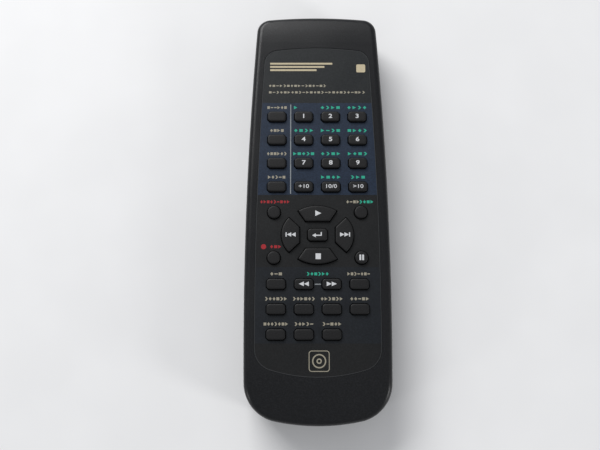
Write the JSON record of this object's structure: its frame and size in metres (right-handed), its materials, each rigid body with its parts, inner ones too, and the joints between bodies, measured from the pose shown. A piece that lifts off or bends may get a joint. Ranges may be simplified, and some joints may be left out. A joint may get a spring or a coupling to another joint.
{
  "type": "handheld remote control",
  "caption": "Slim black handheld remote control for a disc recorder, with number keys, an oval cluster of transport keys and a sliding battery cover.",
  "frame": {"origin": "middle of the case in plan, on the plane that the back rests on", "axes": "+Z from the back to the keys, +Y towards the infrared window, +X to the right of the keys"},
  "size_m": [0.0536, 0.1539, 0.0214],
  "materials": {
    "case_plastic": "fine moulded texture, satin black",
    "face_plate": "printed sheet, charcoal with a dark blue zone",
    "key_plastic": "satin black",
    "smoked_window": "polished, near black",
    "diode_resin": "clear smoky resin",
    "board_laminate": "brown paper laminate",
    "mat_rubber": "matte grey",
    "chip_resin": "matte black",
    "resonator_coat": "dipped orange coat",
    "capacitor_sleeve": "shrunk sleeve",
    "cell_jacket": "plain wrapped jacket",
    "contact_metal": "nickel plated spring steel",
    "screw_steel": "zinc plated"
  },
  "bodies": {
    "handset": {"bridge_contact": "contact_metal", "capacitor": "capacitor_sleeve", "case_screws": "screw_steel", "cell_left": "cell_jacket", "cell_right": "cell_jacket", "chip_resistors": "chip_resin", "circuit_board": "board_laminate", "controller_chip": "chip_resin", "driver_transistor": "chip_resin", "face_plate": "face_plate", "infrared_diode": "diode_resin", "infrared_window": "smoked_window", "key_mat": "mat_rubber", "lower_case": "case_plastic", "negative_contact": "contact_metal", "positive_contact": "contact_metal", "resonator": "resonator_coat", "upper_case": "case_plastic"},
    "battery_cover": {"battery_cover": "case_plastic"},
    "key_1": {"key_1": "key_plastic"},
    "key_10_0": {"key_10_0": "key_plastic"},
    "key_2": {"key_2": "key_plastic"},
    "key_3": {"key_3": "key_plastic"},
    "key_4": {"key_4": "key_plastic"},
    "key_5": {"key_5": "key_plastic"},
    "key_6": {"key_6": "key_plastic"},
    "key_7": {"key_7": "key_plastic"},
    "key_8": {"key_8": "key_plastic"},
    "key_9": {"key_9": "key_plastic"},
    "key_a_b": {"key_a_b": "key_plastic"},
    "key_check": {"key_check": "key_plastic"},
    "key_clear": {"key_clear": "key_plastic"},
    "key_display": {"key_display": "key_plastic"},
    "key_edit": {"key_edit": "key_plastic"},
    "key_enter": {"key_enter": "key_plastic"},
    "key_fader": {"key_fader": "key_plastic"},
    "key_forward": {"key_forward": "key_plastic"},
    "key_highlight": {"key_highlight": "key_plastic"},
    "key_medley": {"key_medley": "key_plastic"},
    "key_name": {"key_name": "key_plastic"},
    "key_name_clip": {"key_name_clip": "key_plastic"},
    "key_next": {"key_next": "key_plastic"},
    "key_over_10": {"key_over_10": "key_plastic"},
    "key_pause": {"key_pause": "key_plastic"},
    "key_play": {"key_play": "key_plastic"},
    "key_plus_10": {"key_plus_10": "key_plastic"},
    "key_previous": {"key_previous": "key_plastic"},
    "key_program": {"key_program": "key_plastic"},
    "key_random": {"key_random": "key_plastic"},
    "key_record": {"key_record": "key_plastic"},
    "key_repeat": {"key_repeat": "key_plastic"},
    "key_rewind": {"key_rewind": "key_plastic"},
    "key_stop": {"key_stop": "key_plastic"},
    "key_synchro": {"key_synchro": "key_plastic"},
    "key_time_skip": {"key_time_skip": "key_plastic"}
  },
  "joints": [
    {"name": "battery_cover_slide", "type": "slide", "parent": "handset", "child": "battery_cover", "axis": [0, -1, 0], "range_m": [0, 0.06]},
    {"name": "key_1_press", "type": "slide", "parent": "handset", "child": "key_1", "axis": [0, 0, -1], "range_m": [0, 0.0009], "stiffness_N_per_m": 400},
    {"name": "key_10_0_press", "type": "slide", "parent": "handset", "child": "key_10_0", "axis": [0, 0, -1], "range_m": [0, 0.0009], "stiffness_N_per_m": 400},
    {"name": "key_2_press", "type": "slide", "parent": "handset", "child": "key_2", "axis": [0, 0, -1], "range_m": [0, 0.0009], "stiffness_N_per_m": 400},
    {"name": "key_3_press", "type": "slide", "parent": "handset", "child": "key_3", "axis": [0, 0, -1], "range_m": [0, 0.0009], "stiffness_N_per_m": 400},
    {"name": "key_4_press", "type": "slide", "parent": "handset", "child": "key_4", "axis": [0, 0, -1], "range_m": [0, 0.0009], "stiffness_N_per_m": 400},
    {"name": "key_5_press", "type": "slide", "parent": "handset", "child": "key_5", "axis": [0, 0, -1], "range_m": [0, 0.0009], "stiffness_N_per_m": 400},
    {"name": "key_6_press", "type": "slide", "parent": "handset", "child": "key_6", "axis": [0, 0, -1], "range_m": [0, 0.0009], "stiffness_N_per_m": 400},
    {"name": "key_7_press", "type": "slide", "parent": "handset", "child": "key_7", "axis": [0, 0, -1], "range_m": [0, 0.0009], "stiffness_N_per_m": 400},
    {"name": "key_8_press", "type": "slide", "parent": "handset", "child": "key_8", "axis": [0, 0, -1], "range_m": [0, 0.0009], "stiffness_N_per_m": 400},
    {"name": "key_9_press", "type": "slide", "parent": "handset", "child": "key_9", "axis": [0, 0, -1], "range_m": [0, 0.0009], "stiffness_N_per_m": 400},
    {"name": "key_a_b_press", "type": "slide", "parent": "handset", "child": "key_a_b", "axis": [0, 0, -1], "range_m": [0, 0.0009], "stiffness_N_per_m": 400},
    {"name": "key_check_press", "type": "slide", "parent": "handset", "child": "key_check", "axis": [0, 0, -1], "range_m": [0, 0.0009], "stiffness_N_per_m": 400},
    {"name": "key_clear_press", "type": "slide", "parent": "handset", "child": "key_clear", "axis": [0, 0, -1], "range_m": [0, 0.0009], "stiffness_N_per_m": 400},
    {"name": "key_display_press", "type": "slide", "parent": "handset", "child": "key_display", "axis": [0, 0, -1], "range_m": [0, 0.0009], "stiffness_N_per_m": 400},
    {"name": "key_edit_press", "type": "slide", "parent": "handset", "child": "key_edit", "axis": [0, 0, -1], "range_m": [0, 0.0009], "stiffness_N_per_m": 400},
    {"name": "key_enter_press", "type": "slide", "parent": "handset", "child": "key_enter", "axis": [0, 0, -1], "range_m": [0, 0.0009], "stiffness_N_per_m": 400},
    {"name": "key_fader_press", "type": "slide", "parent": "handset", "child": "key_fader", "axis": [0, 0, -1], "range_m": [0, 0.0009], "stiffness_N_per_m": 400},
    {"name": "key_forward_press", "type": "slide", "parent": "handset", "child": "key_forward", "axis": [0, 0, -1], "range_m": [0, 0.0009], "stiffness_N_per_m": 400},
    {"name": "key_highlight_press", "type": "slide", "parent": "handset", "child": "key_highlight", "axis": [0, 0, -1], "range_m": [0, 0.0009], "stiffness_N_per_m": 400},
    {"name": "key_medley_press", "type": "slide", "parent": "handset", "child": "key_medley", "axis": [0, 0, -1], "range_m": [0, 0.0009], "stiffness_N_per_m": 400},
    {"name": "key_name_press", "type": "slide", "parent": "handset", "child": "key_name", "axis": [0, 0, -1], "range_m": [0, 0.0009], "stiffness_N_per_m": 400},
    {"name": "key_name_clip_press", "type": "slide", "parent": "handset", "child": "key_name_clip", "axis": [0, 0, -1], "range_m": [0, 0.0009], "stiffness_N_per_m": 400},
    {"name": "key_next_press", "type": "slide", "parent": "handset", "child": "key_next", "axis": [0, 0, -1], "range_m": [0, 0.0009], "stiffness_N_per_m": 400},
    {"name": "key_over_10_press", "type": "slide", "parent": "handset", "child": "key_over_10", "axis": [0, 0, -1], "range_m": [0, 0.0009], "stiffness_N_per_m": 400},
    {"name": "key_pause_press", "type": "slide", "parent": "handset", "child": "key_pause", "axis": [0, 0, -1], "range_m": [0, 0.0009], "stiffness_N_per_m": 400},
    {"name": "key_play_press", "type": "slide", "parent": "handset", "child": "key_play", "axis": [0, 0, -1], "range_m": [0, 0.0009], "stiffness_N_per_m": 400},
    {"name": "key_plus_10_press", "type": "slide", "parent": "handset", "child": "key_plus_10", "axis": [0, 0, -1], "range_m": [0, 0.0009], "stiffness_N_per_m": 400},
    {"name": "key_previous_press", "type": "slide", "parent": "handset", "child": "key_previous", "axis": [0, 0, -1], "range_m": [0, 0.0009], "stiffness_N_per_m": 400},
    {"name": "key_program_press", "type": "slide", "parent": "handset", "child": "key_program", "axis": [0, 0, -1], "range_m": [0, 0.0009], "stiffness_N_per_m": 400},
    {"name": "key_random_press", "type": "slide", "parent": "handset", "child": "key_random", "axis": [0, 0, -1], "range_m": [0, 0.0009], "stiffness_N_per_m": 400},
    {"name": "key_record_press", "type": "slide", "parent": "handset", "child": "key_record", "axis": [0, 0, -1], "range_m": [0, 0.0009], "stiffness_N_per_m": 400},
    {"name": "key_repeat_press", "type": "slide", "parent": "handset", "child": "key_repeat", "axis": [0, 0, -1], "range_m": [0, 0.0009], "stiffness_N_per_m": 400},
    {"name": "key_rewind_press", "type": "slide", "parent": "handset", "child": "key_rewind", "axis": [0, 0, -1], "range_m": [0, 0.0009], "stiffness_N_per_m": 400},
    {"name": "key_stop_press", "type": "slide", "parent": "handset", "child": "key_stop", "axis": [0, 0, -1], "range_m": [0, 0.0009], "stiffness_N_per_m": 400},
    {"name": "key_synchro_press", "type": "slide", "parent": "handset", "child": "key_synchro", "axis": [0, 0, -1], "range_m": [0, 0.0009], "stiffness_N_per_m": 400},
    {"name": "key_time_skip_press", "type": "slide", "parent": "handset", "child": "key_time_skip", "axis": [0, 0, -1], "range_m": [0, 0.0009], "stiffness_N_per_m": 400}
  ]
}
